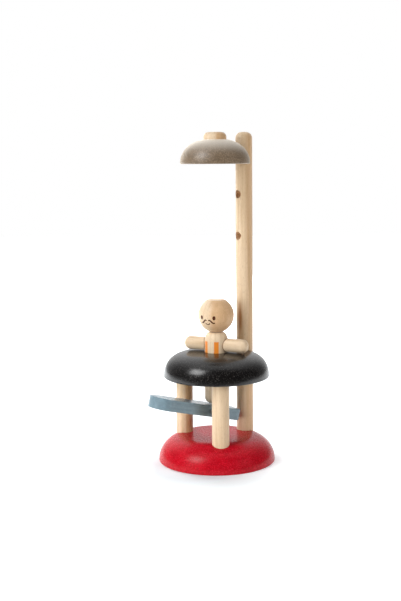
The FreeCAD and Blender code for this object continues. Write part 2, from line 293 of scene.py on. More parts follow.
class Steps:
    """Adds nodes to a tree."""

    def __init__(self, tree):
        self.tree = tree

    def add(self, kind, values=None, **settings):
        """A new node with these inputs and settings."""
        node = self.tree.nodes.new(kind)
        for name, value in settings.items():
            setattr(node, name, value)
        step = Step(self, node)
        step.feed(values or {})
        return step

    def math(self, operation, *values):
        """A function of numbers, or of vectors where any of the values is one."""
        inputs = dict(enumerate(values))
        if not any(map(is_vector, values)):
            return self.add("ShaderNodeMath", inputs, operation=operation)[0]
        step = self.add("ShaderNodeVectorMath", inputs, operation=operation)
        return step["Value" if operation in {"LENGTH", "DOT_PRODUCT"} else "Vector"]

    def whole(self, x, y, z):
        return self.add("ShaderNodeCombineXYZ", {0: x, 1: y, 2: z})[0]

    def polar(self, radius, angle, height):
        """The point at a distance from the Z axis, an angle round it and a height."""
        x, y = (radius * self.math(operation, angle) for operation in ("COSINE", "SINE"))
        return self.whole(x, y, height)

    def noise(self, vector, detail=2.0, roughness=0.5, scale=1.0, output="Fac"):
        values = {"Vector": vector, "Scale": scale, "Detail": detail, "Roughness": roughness}
        return self.add("ShaderNodeTexNoise", values)[output]

    def mix(self, share, first, second, how="MIX"):
        values = {0: share, 6: first, 7: second}
        return self.add("ShaderNodeMix", values, data_type="RGBA", blend_type=how)[2]

    def group(self, tree, values):
        return self.add("ShaderNodeGroup", values, node_tree=tree)

    def close(self, values):
        """Feeds the tree's outputs and hands back the tree."""
        self.add("NodeGroupOutput", values)
        return self.tree


def toned(rgb, share):
    return tuple(channel * share for channel in rgb)


VECTOR, COLOUR, NUMBER, COUNT, SHAPE, MATERIAL = (
    "NodeSocket" + kind for kind in ("Vector", "Color", "Float", "Int", "Geometry", "Material")
)
STARTING_KINDS = {float: NUMBER, int: COUNT}


def new_tree(kind, name, inputs, outputs):
    """An empty node tree and its inputs, each given by its kind or by the number it starts with."""
    tree = bpy.data.node_groups.new(name, kind)
    for label, start in inputs.items():
        socket_kind = STARTING_KINDS.get(type(start), start)
        socket = tree.interface.new_socket(label, in_out="INPUT", socket_type=socket_kind)
        if socket_kind != start:
            socket.default_value = start
    for label, socket_kind in outputs.items():
        tree.interface.new_socket(label, in_out="OUTPUT", socket_type=socket_kind)
    steps = Steps(tree)
    return steps, steps.add("NodeGroupInput")


def look_tree(name, inputs, outputs):
    return new_tree("ShaderNodeTree", name, {"Vector": VECTOR, **inputs}, outputs)


def shape_tree(name, inputs):
    inputs = {"Geometry": SHAPE, **inputs, "Material": MATERIAL}
    return new_tree("GeometryNodeTree", name, inputs, {"Geometry": SHAPE})


def built_once(build):
    """Hands back the tree of that name where it is there already."""
    def find():
        name = build.__name__.replace("_", " ")
        return bpy.data.node_groups.get(name) or build(name)
    return find


# Looks that several finishes share. Places and pattern sizes are in millimetres

LOOK = {"Color": COLOUR, "Roughness": NUMBER, "Height": NUMBER}
MASK = {"Mask": NUMBER}
RING_WANDER = (9, 9, 0)     # across a whole swing of the rings
BOUNDARY_WANDER = 4.0       # and of the edge of the tan side


@built_once
def wood_grain(name):
    """Growth rings, streaks, fibres and pores of a pale hardwood, with its grain along Z."""
    steps, given = look_tree(name, {
        "Light": COLOUR, "Dark": COLOUR, "Pore": COLOUR,
        "Ring Spacing": 4.8, "Ring Strength": 0.22, "Streak Strength": 0.5, "Pore Strength": 0.4,
    }, LOOK)
    place = given["Vector"]
    wander = steps.noise(place.stretched(18, 110), output="Color") - 0.5
    bent = place + wander * RING_WANDER
    turns = bent.from_axis() / given["Ring Spacing"]
    ring = steps.math("SINE", turns * FULL_TURN).ramp(-0.2, 1.0)
    streak = steps.noise(bent.stretched(3.2, 85), 3.0, 0.55).ramp(0.34, 0.68)
    fibre = steps.noise(place.stretched(0.42, 22), 3.0, 0.6)
    pore = steps.noise(place.stretched(0.28, 3.4), 1.0, 0.5).ramp(0.60, 0.72)
    share = ring * given["Ring Strength"] + streak * given["Streak Strength"] + (fibre * 0.5 - 0.25)
    share = steps.math("MINIMUM", steps.math("MAXIMUM", share, 0.0), 1.0)
    tone = steps.mix(share, given["Light"], given["Dark"])
    return steps.close({
        "Color": steps.mix(pore * given["Pore Strength"], tone, given["Pore"]),
        "Roughness": pore * 0.15 + (fibre * 0.14 + 0.36),
        "Height": pore * -0.7 + fibre * 0.35,
    })


@built_once
def heartwood(name):
    """A mask of the tan side of a piece, past a wavy boundary that runs along the grain."""
    steps, given = look_tree(name, {"Towards Heart": VECTOR, "Boundary": 0.0, "Softness": 3.0}, MASK)
    wander = steps.noise(given["Vector"].stretched(7, 60), 3.0, 0.55) - 0.5
    depth = steps.math("DOT_PRODUCT", given["Vector"], given["Towards Heart"])
    depth = depth + wander * BOUNDARY_WANDER - given["Boundary"]
    softness = given["Softness"]
    return steps.close({"Mask": depth.ramp(softness * -1.0, softness)})


@built_once
def pressed_chips(name):
    """Fine chips of pressed wood under a thin stain, turned on a lathe about the Z axis."""
    steps, given = look_tree(name, {
        "Stain": COLOUR, "Fleck": COLOUR, "Deep": COLOUR,
        "Chip Size": 0.6, "Fleck Share": 0.3, "Turning Strength": 0.2, "Roughness": 0.36,
    }, LOOK)
    place = given["Vector"]
    in_chips = place * (1.0 / given["Chip Size"])
    chips = steps.add("ShaderNodeTexVoronoi", {"Vector": in_chips, "Scale": 1.0})["Color"]
    chance = steps.add("ShaderNodeSeparateColor", {0: chips})[0]
    dust = steps.noise(in_chips, 3.0, 0.65, 1.7)
    cloud = steps.noise(place, 3.0, 0.55, 0.11)
    ringed = steps.whole(place.from_axis(), 0.0, place.part("Z")) + place * 0.04
    turned = steps.noise(ringed, 4.0, 0.65, 0.9)
    light = steps.math("GREATER_THAN", chance, 1.0 - given["Fleck Share"]) * dust.ramp(0.3, 0.7)
    deep = steps.math("LESS_THAN", chance, given["Fleck Share"]) * dust.ramp(0.7, 0.3)
    turning = turned.ramp(0.4, 0.7) * given["Turning Strength"]
    tone = given["Stain"]
    for share in (cloud.ramp(0.3, 0.7, 0.0, 0.35), turning, deep):
        tone = steps.mix(share, tone, given["Deep"])
    return steps.close({
        "Color": steps.mix(light, tone, given["Fleck"]),
        "Roughness": dust * 0.16 - 0.08 + given["Roughness"],
        "Height": turned * 0.6 + (chance * 0.4 + dust * 0.4),
    })


@built_once
def edge_wear(name):
    """A broken mask along an edge, from the distance to it, where hands have rubbed the stain thin."""
    steps, given = look_tree(name, {"Edge Distance": NUMBER, "Width": 0.8}, MASK)
    broken = steps.noise(given["Vector"], 4.0, 0.6, 0.35)
    reach = given["Width"] * broken.ramp(0.35, 0.75, 0.2, 1.6)
    return steps.close({"Mask": (given["Edge Distance"] / reach).ramp(0.25, 1.0, 1.0, 0.0)})


# Shapes that follow a rule

STROKE_POINTS = 48
STROKE_SIDES = 14
FINEST_TAPER = 0.06         # share of the stroke's width that is left at its ends
SCREW_SHEET = (220, 33)     # points along and round a screw
SCREW_SPANS = ((0, 0.04), (0.04, 0.06), (0.06, 0.12), (0.12, 1))    # of its face, lip, cone and shank
LIP_SHARE = 0.12            # of the screw head's height
BARE_SHANK = (0.2, 0.32)    # where the thread begins to rise and stands full, along the shank
WELD = 0.000002             # points nearer than this, in metres, become one
DOWEL_POINTS = 160
DOWEL_SIDES = 96
HOLE_SIDES = 64


def position(steps):
    return steps.add("GeometryNodeInputPosition")[0]


def moved(steps, shape, **place):
    return steps.add("GeometryNodeSetPosition", {"Geometry": shape, **place})[0]


def guide_curve(steps, guide, points, smooth=False):
    """The guide's lines as curves with this many points each."""
    line = steps.add("GeometryNodeMeshToCurve", {"Mesh": guide})[0]
    if smooth:
        line = steps.add("GeometryNodeCurveSplineType", {"Curve": line}, spline_type="CATMULL_ROM")[0]
    return steps.add("GeometryNodeResampleCurve", {"Curve": line, "Count": points}, mode="COUNT")[0]


def curve_share(steps):
    """How far along its curve a point lies."""
    return steps.add("GeometryNodeSplineParameter")["Factor"]


def rod(steps, line, sides, radius, share):
    """A closed round rod along a line, with its radius times the share."""
    profile = steps.add("GeometryNodeCurvePrimitiveCircle", {"Resolution": sides, "Radius": radius})[0]
    values = {"Curve": line, "Profile Curve": profile, "Scale": share, "Fill Caps": True}
    return steps.add("GeometryNodeCurveToMesh", values)[0]


def cut_away(steps, body, tools):
    values = {"Mesh 1": body, "Mesh 2": tools}
    return steps.add("GeometryNodeMeshBoolean", values, operation="DIFFERENCE", solver="EXACT")[0]


def at_points(steps, points, piece):
    return steps.add("GeometryNodeInstanceOnPoints", {"Points": points, "Instance": piece})[0]


def creased(steps, shape, degrees):
    """Smooth faces, with the edges sharper than the angle kept crisp."""
    values = {"Geometry": shape, "Shade Smooth": True}
    smooth = steps.add("GeometryNodeSetShadeSmooth", values, domain="FACE")[0]
    bend = steps.add("GeometryNodeInputMeshEdgeAngle")["Unsigned Angle"]
    values = {0: bend, 1: math.radians(degrees)}
    sharp = steps.add("FunctionNodeCompare", values, operation="GREATER_THAN")[0]
    values = {"Geometry": smooth, "Selection": sharp, "Shade Smooth": False}
    return steps.add("GeometryNodeSetShadeSmooth", values, domain="EDGE")[0]


def end_with(steps, shape, material):
    """Closes a tree as plain geometry with its material."""
    real = steps.add("GeometryNodeRealizeInstances", {0: shape})[0]
    painted = steps.add("GeometryNodeSetMaterial", {"Geometry": real, "Material": material})[0]
    return steps.close({"Geometry": painted})


@built_once
def painted_strokes(name):
    """Strokes drawn flat, rolled onto a ball and raised as thin rounded paint."""
    steps, given = shape_tree(name, {
        "Ball Centre": VECTOR, "Ball Radius": 0.0168, "Facing": 0.0,
        "Stroke Width": 0.001, "Bluntness": 3.0, "Paint Depth": 0.00006,
    })
    centre, ball_radius = given["Ball Centre"], given["Ball Radius"]
    line = guide_curve(steps, given["Geometry"], STROKE_POINTS, smooth=True)
    drawn = position(steps)
    around = drawn.part("X") / ball_radius + given["Facing"]
    above = drawn.part("Y") / ball_radius
    outward = steps.polar(steps.math("COSINE", above), around, steps.math("SINE", above))
    line = moved(steps, line, Position=outward * ball_radius + centre)
    from_middle = steps.math("ABSOLUTE", curve_share(steps) * 2.0 - 1.0)
    taper = (1.0 - from_middle ** given["Bluntness"]) ** 0.5
    half_width = given["Stroke Width"] * 0.5
    tube = rod(steps, line, STROKE_SIDES, half_width, steps.math("MAXIMUM", taper, FINEST_TAPER))
    from_centre = position(steps) - centre
    proud = (from_centre.length() - ball_radius) * (given["Paint Depth"] / half_width)
    pressed = steps.math("NORMALIZE", from_centre) * (ball_radius + proud) + centre
    return end_with(steps, creased(steps, moved(steps, tube, Position=pressed), 80), given["Material"])


@built_once
def wood_screws(name):
    """A countersunk wood screw at each guide point, its crossed head down and its threaded point up."""
    steps, given = shape_tree(name, {
        "Length": 0.022, "Head Radius": 0.0039, "Head Height": 0.0026, "Shank Radius": 0.002,
        "Tip Length": 0.004, "Thread Pitch": 0.0017, "Thread Depth": 0.0005,
        "Recess Reach": 0.0021, "Recess Width": 0.0008, "Recess Depth": 0.0014,
    })
    points_along, points_round = SCREW_SHEET
    sheet = steps.add("GeometryNodeMeshGrid", {
        "Size X": 1, "Size Y": 1, "Vertices X": points_along, "Vertices Y": points_round
    })[0]
    flat = position(steps)
    along = flat.part("X") + 0.5
    turn = flat.part("Y") + 0.5
    face, lip, cone, shank = (along.slope(*span) for span in SCREW_SPANS)
    head_height, head_radius = given["Head Height"], given["Head Radius"]
    lip_height = head_height * LIP_SHARE
    height = lip * lip_height + cone * (head_height - lip_height)
    height = height + shank * (given["Length"] - head_height)
    radius = face * head_radius - cone * (head_radius - given["Shank Radius"])
    winding = steps.math("FRACT", height / given["Thread Pitch"] + turn)
    groove = steps.math("ABSOLUTE", winding - 0.5).ramp(0.30, 0.48, 1.0, 0.0)
    radius = radius - groove * (shank.slope(*BARE_SHANK) * given["Thread Depth"])
    radius = radius * (given["Length"] - height).slope(0.0, given["Tip Length"]) ** 0.8
    rolled = moved(steps, sheet, Position=steps.polar(radius, turn * -FULL_TURN, height))
    closed = steps.add("GeometryNodeMergeByDistance", {"Geometry": rolled, "Distance": WELD})[0]
    reach, depth = given["Recess Reach"] * 2.0, given["Recess Depth"] * 2.0
    width = given["Recess Width"]
    bars = [
        steps.add("GeometryNodeMeshCube", {"Size": steps.whole(*size)})[0]
        for size in ((reach, width, depth), (width, reach, depth))
    ]
    screw = creased(steps, cut_away(steps, closed, bars), 40)
    return end_with(steps, at_points(steps, given["Geometry"], screw), given["Material"])


@built_once
def drilled_dowel(name):
    """A dowel round a guide line, rounded at its end, with a row of blind holes drilled towards +X."""
    steps, given = shape_tree(name, {
        "Length": 0.3, "Radius": 0.008, "Top Round": 0.006, "First Hole Floor": VECTOR,
        "Hole Radius": 0.004, "Hole Depth": 0.010, "Hole Pitch": 0.0395, "Hole Count": 3,
    })
    full_length, top_round = given["Length"], given["Top Round"]
    line = guide_curve(steps, given["Geometry"], DOWEL_POINTS)
    to_end = 1.0 - curve_share(steps)
    gathered = to_end - to_end ** 2.0
    line = moved(steps, line, Offset=steps.whole(0.0, 0.0, gathered * full_length))
    to_shoulder = steps.math("MAXIMUM", top_round - to_end * full_length, 0.0)
    arc = (top_round ** 2.0 - to_shoulder ** 2.0) ** 0.5
    share = (given["Radius"] - top_round + arc) / given["Radius"]
    dowel = rod(steps, line, DOWEL_SIDES, given["Radius"], share)
    reach = given["Hole Depth"] * 2.0
    values = {"Vertices": HOLE_SIDES, "Radius": given["Hole Radius"], "Depth": reach}
    bit = steps.add("GeometryNodeMeshCylinder", values)[0]
    bit = steps.add("GeometryNodeTransform", {
        "Geometry": bit, "Rotation": (0, math.pi / 2, 0),
        "Translation": steps.whole(reach * -0.5, 0.0, 0.0),
    })[0]
    row = steps.add("GeometryNodeMeshLine", {
        "Count": given["Hole Count"], "Start Location": given["First Hole Floor"],
        "Offset": steps.whole(0.0, 0.0, given["Hole Pitch"] * -1.0),
    })[0]
    bits = steps.add("GeometryNodeRealizeInstances", {0: at_points(steps, row, bit)})[0]
    return end_with(steps, creased(steps, cut_away(steps, dowel, bits), 30), given["Material"])


def plain_mesh(name, points, edges=(), faces=()):
    mesh = bpy.data.meshes.new(name)
    mesh.from_pydata(points, edges, faces)
    return mesh


def guide_lines(name, paths):
    """A mesh of open lines, one for each path of points."""
    points, edges = [], []
    for path in paths:
        edges += [(index, index + 1) for index in range(len(points), len(points) + len(path) - 1)]
        points += path
    return plain_mesh(name, points, edges)


def link(name, data):
    piece = bpy.data.objects.new(name, data)
    bpy.context.scene.collection.objects.link(piece)
    return piece


def grow(name, tree, guide, values):
    """Runs a geometry tree once over a guide and keeps the result as a plain mesh at the origin."""
    carrier = link(name + "_guide", guide)
    modifier = carrier.modifiers.new(name, "NODES")
    modifier.node_group = tree
    for socket in tree.interface.items_tree:
        if socket.in_out == "INPUT" and socket.name in values:
            modifier[socket.identifier] = values[socket.name]
    graph = bpy.context.evaluated_depsgraph_get()
    grown = carrier.evaluated_get(graph)
    mesh = bpy.data.meshes.new_from_object(grown, preserve_all_data_layers=True, depsgraph=graph)
    if not mesh.polygons:
        raise RuntimeError(name + " came out empty")
    bpy.data.objects.remove(carrier)
    return link(name, mesh)


# Materials

class Finish(Steps):
    """A new material with its Principled shader and the place on the piece in millimetres."""

    def __init__(self, name, plain=None):
        self.material = bpy.data.materials.new(name)
        self.material.use_nodes = True
        super().__init__(self.material.node_tree)
        self.tree.nodes.clear()
        self.shader = self.add("ShaderNodeBsdfPrincipled", plain)
        self.add("ShaderNodeOutputMaterial", {"Surface": self.shader[0]})
        self.place = self.add("ShaderNodeTexCoord")["Object"] * MILLIMETRES

    def along(self, grain, centre=(0, 0, 0), pith=(0, 0, 0)):
        """The place with the grain direction turned to Z and the pith on the Z axis."""
        turn = Vector(grain).rotation_difference(UP)
        shift = Vector(pith) - turn @ (Vector(centre) * MILLIMETRES)
        values = {"Vector": self.place, "Location": shift, "Rotation": turn.to_euler()}
        return self.add("ShaderNodeMapping", values, vector_type="POINT")[0]

    def from_circle(self, radius, height):
        """Distance from a level circle about the Z axis."""
        return self.whole(self.place.from_axis() - radius, self.place.part("Z") - height, 0.0).length()

    def finish(self, tone, roughness, height, relief):
        """Feeds the shader. Relief is how deep the height is, in metres."""
        bump = self.add("ShaderNodeBump", {"Height": height, "Strength": 1.0, "Distance": relief})[0]
        self.shader.feed({"Base Color": tone, "Roughness": roughness, "Normal": bump})
        return self.material


# How deep the surfaces are, in metres
GRAIN_RELIEF = 0.00004
LEVER_RELIEF = 0.00002
SMOOTH_RELIEF = 0.00001     # of paint and metal

WAX = {"Sheen Weight": 0.25, "Sheen Roughness": 0.4}
JOINT_SHADE_WIDTH = (0.5, 1.2)     # of the dark middle and of the whole line of painted shade along a joint, in millimetres
JOINT_SHADE_STRENGTH = 0.8
STREAK_PLACE = (25.7, -2.6, 133.5)      # of the mineral streak's middle, in millimetres
STREAK_SIZE = (2.4, 2.4, 13.0)          # its half width, depth and height, in millimetres
STREAK_EDGE = (1.6, 0.3)                # in shares of its size, where it begins and is full
STREAK_STRENGTH = 0.85
HOLE_WALL = (0.3, 0.05)     # depths in millimetres where a hole's wall is full and where it begins
DRILLED_STRENGTH = 0.85
PAINT_BLUR = 0.06           # to either side of a painted edge, in millimetres
GRAIN_IN_PAINT = 0.22       # how strongly the grain shows through
PAINT_THICKNESS = 0.5       # in shares of the grain's relief


def wood(steps, place, light, dark, pore, **strengths):
    """The wood grain with its colours set."""
    colours = {"Light": light, "Dark": dark, "Pore": pore}
    return steps.group(wood_grain(), {"Vector": place, **colours, **strengths})


def bare_wood(name, node, grain, pith, heart=None, **strengths):
    """Sanded, waxed wood. The pith lies outside the piece, so that rings cross it as long stripes.

    Heart and shade is the direction of the tan side, how far from the piece's middle it starts in
    millimetres, and its strength. The tan side is heartwood on the head and the pole, and painted
    shade on the left post and the hat's button.
    """
    settings = bpy.context.scene.acrobat_wood
    steps = Finish(name, WAX)
    place = steps.along(grain, box_centre(node), pith)
    spacing = {"Ring Spacing": settings.ring_spacing * MILLIMETRES}
    look = wood(steps, place, settings.light, settings.dark, settings.pore, **spacing, **strengths)
    tone = look["Color"]
    if heart:
        direction, offset, strength = heart
        boundary = Vector(pith).dot(direction) + offset
        values = {"Vector": place, "Towards Heart": direction, "Boundary": boundary}
        mask = steps.group(heartwood(), values)["Mask"]
        tan = steps.mix(1.0, toned(settings.heart, 1.6), tone, "MULTIPLY")
        tone = steps.mix(mask * strength, tone, steps.mix(0.5, settings.heart, tan))
    return steps, look, tone


def waxed(steps, look, tone):
    return steps.finish(tone, look["Roughness"], look["Height"], GRAIN_RELIEF)


def seam(steps, tone, near):
    """A thin line of painted shade, darker in its middle, where the distance from a joint, in
    millimetres, is small.
    """
    line = near.ramp(*JOINT_SHADE_WIDTH, JOINT_SHADE_STRENGTH, 0.0)
    # painted shade in the mineral streak's brown, darkened
    return steps.mix(line, tone, toned(bpy.context.scene.acrobat_wood.streak, 0.6))


def neck_distance(steps):
    """Distance from the round edge along which the ball rests on the flat of the torso."""
    edge = math.sqrt(round_radius("head") ** 2 - HEAD_CENTRE_RISE ** 2)
    return steps.from_circle(edge * MILLIMETRES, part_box("torso")[1].z * MILLIMETRES)


def glued_arms():
    """The arm dowel's wood, with painted shade where it enters the chest."""
    steps, look, tone = bare_wood("arm wood", "arms", ARM_DIRECTION, (21, 14, 0))
    from_chest = steps.place.from_axis() - round_radius("torso") * MILLIMETRES
    return waxed(steps, look, seam(steps, tone, from_chest))


def waxed_head():
    """The ball's wood, tan on one side, with painted shade where it rests on the torso."""
    tan_side = (RIGHT_OF_VIEW, -5.0, 0.6)
    steps, look, tone = bare_wood("head wood", "head", UP, (6, 26, 0), tan_side, **{
        "Streak Strength": 0.3, "Ring Strength": 0.18, "Pore Strength": 0.8
    })
    return waxed(steps, look, seam(steps, tone, neck_distance(steps)))


def streaked_pole():
    """The pole's wood: darker walls in the peg holes, and a brown mineral streak above the deck."""
    settings = bpy.context.scene.acrobat_wood
    steps, look, tone = bare_wood("pole wood", "pole", UP, (19, 31, 0), (RIGHT_OF_VIEW, 2.0, 0.4))
    offset = (steps.place - STREAK_PLACE) / STREAK_SIZE
    wobble = steps.noise(steps.place.stretched(1.5, 9.0), 3.0, 0.6)
    reach = offset.length() + (wobble * 0.8 - 0.4)
    tone = steps.mix(reach.ramp(*STREAK_EDGE, 0.0, STREAK_STRENGTH), tone, settings.streak)
    axis = box_centre("pole") * MILLIMETRES
    radius = round_radius("pole") * MILLIMETRES
    from_axis = (steps.place - (axis.x, axis.y, 0)).from_axis()
    below_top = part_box("pole")[1].z * MILLIMETRES - steps.place.part("Z")
    top_round = bpy.context.scene.acrobat_pole.top_round * MILLIMETRES
    # the peg holes' walls are coloured darker
    inside = from_axis.ramp(*(radius - depth for depth in HOLE_WALL), 1.0, 0.0)
    inside = inside * below_top.ramp(top_round, top_round + 1.0)
    return waxed(steps, look, steps.mix(inside * DRILLED_STRENGTH, tone, settings.drilled))


# The discs' gloss, the chips' light and deep tones, how far they stand out in metres, and their look
BASE_CHIPS = (
    {"Specular IOR Level": 0.24}, (0.72, 0.02, 0.045), (0.32, 0.002, 0.009), 0.00003,
    {"Roughness": 0.27, "Fleck Share": 0.25, "Turning Strength": 0.2},
)
DECK_CHIPS = (
    {"Specular IOR Level": 0.65}, (0.06, 0.057, 0.054), (0.004, 0.004, 0.004), 0.000025,
    {"Roughness": 0.245, "Fleck Share": 0.10, "Turning Strength": 0.1},
)
HAT_CHIPS = (
    {"Specular IOR Level": 1.0, "Coat Weight": 0.3, "Coat Roughness": 0.3,
     "Sheen Weight": 0.9, "Sheen Roughness": 0.4, "Sheen Tint": (1.0, 0.92, 0.80)},
    (0.33, 0.255, 0.18), (0.125, 0.09, 0.056), 0.00007,
    {"Roughness": 0.46, "Fleck Share": 0.3, "Turning Strength": 0.6, "Chip Size": 0.75},
)
RIM_RUBBED = 0.15       # share of the stain that hands have thinned along a disc's lower rim
CROWN_SHEEN_AND_RUB = 0.85     # and the share by which the hat's crown is painted paler: partly painted highlight, partly stain rubbed thin
CROWN_START = 0.42      # share of the hat's height from which the crown grows paler


def chip_stain(name, node, stain, crown, gloss, fleck, deep, relief, chips):
    """Stained pressed wood of a turned disc, rubbed round its lower rim, and paler towards its crown as
    a painted highlight with stain rubbed thin.
    """
    steps = Finish(name, gloss)
    chip_size = bpy.context.scene.acrobat_stain.chip_size * MILLIMETRES
    look = steps.group(pressed_chips(), {
        "Vector": steps.place, "Stain": stain, "Fleck": fleck, "Deep": deep,
        "Chip Size": chip_size, **chips,
    })
    low, high = (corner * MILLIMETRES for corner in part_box(node))
    rim_distance = steps.from_circle(high.y, low.z)
    values = {"Vector": steps.place, "Edge Distance": rim_distance}
    worn = steps.group(edge_wear(), values)["Mask"]
    tone = steps.mix(worn * RIM_RUBBED, look["Color"], fleck)
    # Painted highlight: the crown is painted paler towards its top, partly as the pale room's
    # reflection, partly as stain rubbed thin
    if crown:
        height = high.z - low.z
        rise = (steps.place.part("Z") - low.z).ramp(CROWN_START * height, height, 0.0, CROWN_SHEEN_AND_RUB)
        tone = steps.mix(rise, tone, crown)
    return steps.finish(tone, look["Roughness"], look["Height"], relief)


def lever_stain():
    """Thin grey-blue stain over wood, mottled a little paler."""
    blue = bpy.context.scene.acrobat_stain.blue
    steps = Finish("blue stained wood", {"Specular IOR Level": 0.4})
    place = steps.along(LEVER_DIRECTION, box_centre("lever"), (14, 22, 0))
    tones = (toned(blue, share) for share in (1.12, 0.86, 0.62))
    look = wood(steps, place, *tones, **{"Ring Spacing": 6.0, "Streak Strength": 0.6})
    mottle = steps.noise(steps.place, 3.0, 0.55, 0.3).ramp(0.4, 0.75, 0.0, 0.25)
    patchy = steps.mix(mottle, look["Color"], toned(blue, 1.5))
    return steps.finish(patchy, look["Roughness"] - 0.16, look["Height"], LEVER_RELIEF)


def past(value, edge, blur=PAINT_BLUR):
    """A painted edge: 1 where the value is above it."""
    return value.ramp(edge - blur, edge + blur)


def short_of(value, edge):
    """A painted edge: 1 where the value is below it."""
    return past(value, edge, -PAINT_BLUR)


def trousers_mask(steps):
    """Where the torso is painted: two braces that join in a round neckline over straight trunks."""
    settings = bpy.context.scene.acrobat_paint
    radius = round_radius("torso") * MILLIMETRES
    middle = settings.brace_angle * radius
    half_width = settings.brace_width / 2 * MILLIMETRES
    inner, outer = middle - half_width, middle + half_width
    values = {"Vector": steps.place, "Angle": -FACE_AZIMUTH}
    turned = steps.add("ShaderNodeVectorRotate", values, rotation_type="Z_AXIS")[0]
    ragged = steps.noise(steps.place, 2.0, 0.6, 1.6) * 0.3 - 0.15
    round_chest = steps.math("ARCTAN2", turned.part("Y"), turned.part("X")) * radius
    aside = steps.math("ABSOLUTE", round_chest) + ragged
    height = turned.part("Z") + ragged
    share = steps.math("MINIMUM", aside / inner, 1.0)
    drop = (1.0 - share ** 2.0) ** 0.5
    neckline = drop * -inner + (settings.neckline * MILLIMETRES + inner)
    inside = steps.math("MAXIMUM", past(aside, inner), past(neckline - height, 0.0))
    within = short_of(aside, outer) * inside
    within = within * short_of(height, settings.brace_top * MILLIMETRES)
    return within * past(height, settings.hem * MILLIMETRES)


def painted_torso():
    """Bare wood with painted braces and trunks that let a little grain through."""
    orange = bpy.context.scene.acrobat_paint.orange
    steps, look, tone = bare_wood("torso wood", "torso", UP, (24, -17, 0), **{"Streak Strength": 0.25})
    mask = trousers_mask(steps)
    tinted = steps.mix(GRAIN_IN_PAINT, orange, tone, "MULTIPLY")
    # painted shade along the edge where the head rests on the torso
    painted = seam(steps, steps.mix(mask, tone, tinted), neck_distance(steps))
    height = mask * PAINT_THICKNESS + look["Height"]
    return steps.finish(painted, look["Roughness"], height, GRAIN_RELIEF)


def face_paint():
    """Brown paint, thinner in patches."""
    brown = bpy.context.scene.acrobat_face.brown
    steps = Finish("brown face paint", {"Specular IOR Level": 0.2})
    thin = steps.noise(steps.place, 3.0, 0.6, 2.2)
    tone = steps.mix(thin.ramp(0.45, 0.75, 0.0, 0.35), brown, toned(brown, 3.0))
    return steps.finish(tone, thin * 0.2 + 0.4, thin, SMOOTH_RELIEF)


def metal(name, tone, roughness, grain):
    """Drawn or plated metal with fine scratches along the grain direction."""
    steps = Finish(name, {"Metallic": 1.0})
    place = steps.along(grain)
    scratch = steps.noise(place.stretched(0.12, 4.0), 4.0, 0.7)
    dull = steps.noise(place, 3.0, 0.6, 0.5).ramp(0.35, 0.75, 0.0, 0.5)
    tint = steps.mix(dull, tone, toned(tone, 0.55))
    return steps.finish(tint, scratch * 0.2 + roughness, scratch, SMOOTH_RELIEF)


def dress(node, material):
    """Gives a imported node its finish."""
    for slot in frame["nodes"][node].material_slots:
        slot.material = material


# Operators

class FinishDowels(bpy.types.Operator):
    """Give the posts, button, peg and hidden dowels their bare wood"""
    bl_idname = "acrobat.finish_dowels"
    bl_label = "Finish the Dowels"

    def execute(self, context):
        dowels = {      # direction of the grain, place of the pith, and the tan side where there is one; on the left post and the button it is painted shade
            # painted shade: the left post's tan side darkens the side turned from the key light
            "left_post": (UP, (-21, 26, 0), (RIGHT_OF_VIEW, 1.0, 0.75)),
            "right_post": (UP, (33, -20, 0)),
            "neck_dowel": (UP, (12, 12, 0)),
            "head_plug": (UP, (17, 9, 0)),
            # painted shade: the button's tan side darkens the side turned from the key light
            "hat_knob": (UP, (20, 12, 0), (RIGHT_OF_VIEW, 0.5, 0.6)),
            "hat_peg": ((1, 0, 0), (9, 14, 0)),
        }
        for node, facts in dowels.items():
            dress(node, waxed(*bare_wood(node + " wood", node, *facts)))
        return {"FINISHED"}


class DrillPole(bpy.types.Operator):
    """Turn the long pole with its rounded top and drill its peg holes"""
    bl_idname = "acrobat.drill_pole"
    bl_label = "Drill the Pole"

    def execute(self, context):
        settings = context.scene.acrobat_pole
        low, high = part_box("pole")
        axis = box_centre("pole").xy
        guide = guide_lines("pole_axis", [[(*axis, low.z), (*axis, high.z)]])
        hole = PEG_HOLE["pos_m"]
        floor = (hole[0] + settings.hole_depth / 2, hole[1], hole[2] + settings.hole_pitch)
        pole = grow("drilled_pole", drilled_dowel(), guide, {
            "Length": high.z - low.z, "Radius": round_radius("pole"), "Top Round": settings.top_round,
            "First Hole Floor": floor, "Hole Radius": settings.hole_radius,
            "Hole Depth": settings.hole_depth, "Hole Pitch": settings.hole_pitch,
            "Hole Count": settings.hole_count, "Material": streaked_pole(),
        })
        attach(pole, "stand")
        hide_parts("pole")
        return {"FINISHED"}


POST_SCREW = {
    "Head Radius": 0.0039, "Head Height": 0.0026, "Shank Radius": 0.0020,
    "Tip Length": 0.0040, "Recess Width": 0.0008, "Recess Depth": 0.0014,
}
KEEPER_SCREW = {
    "Head Radius": 0.0023, "Head Height": 0.0015, "Shank Radius": 0.00125,
    "Tip Length": 0.0025, "Recess Width": 0.0006, "Recess Depth": 0.0008,
}


def screw(name, axes, sizes, material, body, slot, node):
    """Screws on the axes of these nodes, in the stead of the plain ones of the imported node."""
    settings = bpy.context.scene.acrobat_screws
    foot, tip = (corner.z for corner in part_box(node))
    guide = plain_mesh(name + "_places", [(*box_centre(axis).xy, foot) for axis in axes])
    piece = grow(name, wood_screws(), guide, {
        **sizes, "Length": tip - foot, "Material": material,
        "Thread Pitch": sizes["Shank Radius"] * settings.thread_pitch,
        "Thread Depth": sizes["Shank Radius"] * settings.thread_depth,
        "Recess Reach": sizes["Head Radius"] * settings.recess_reach,
    })
    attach(piece, body)
    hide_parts(node)


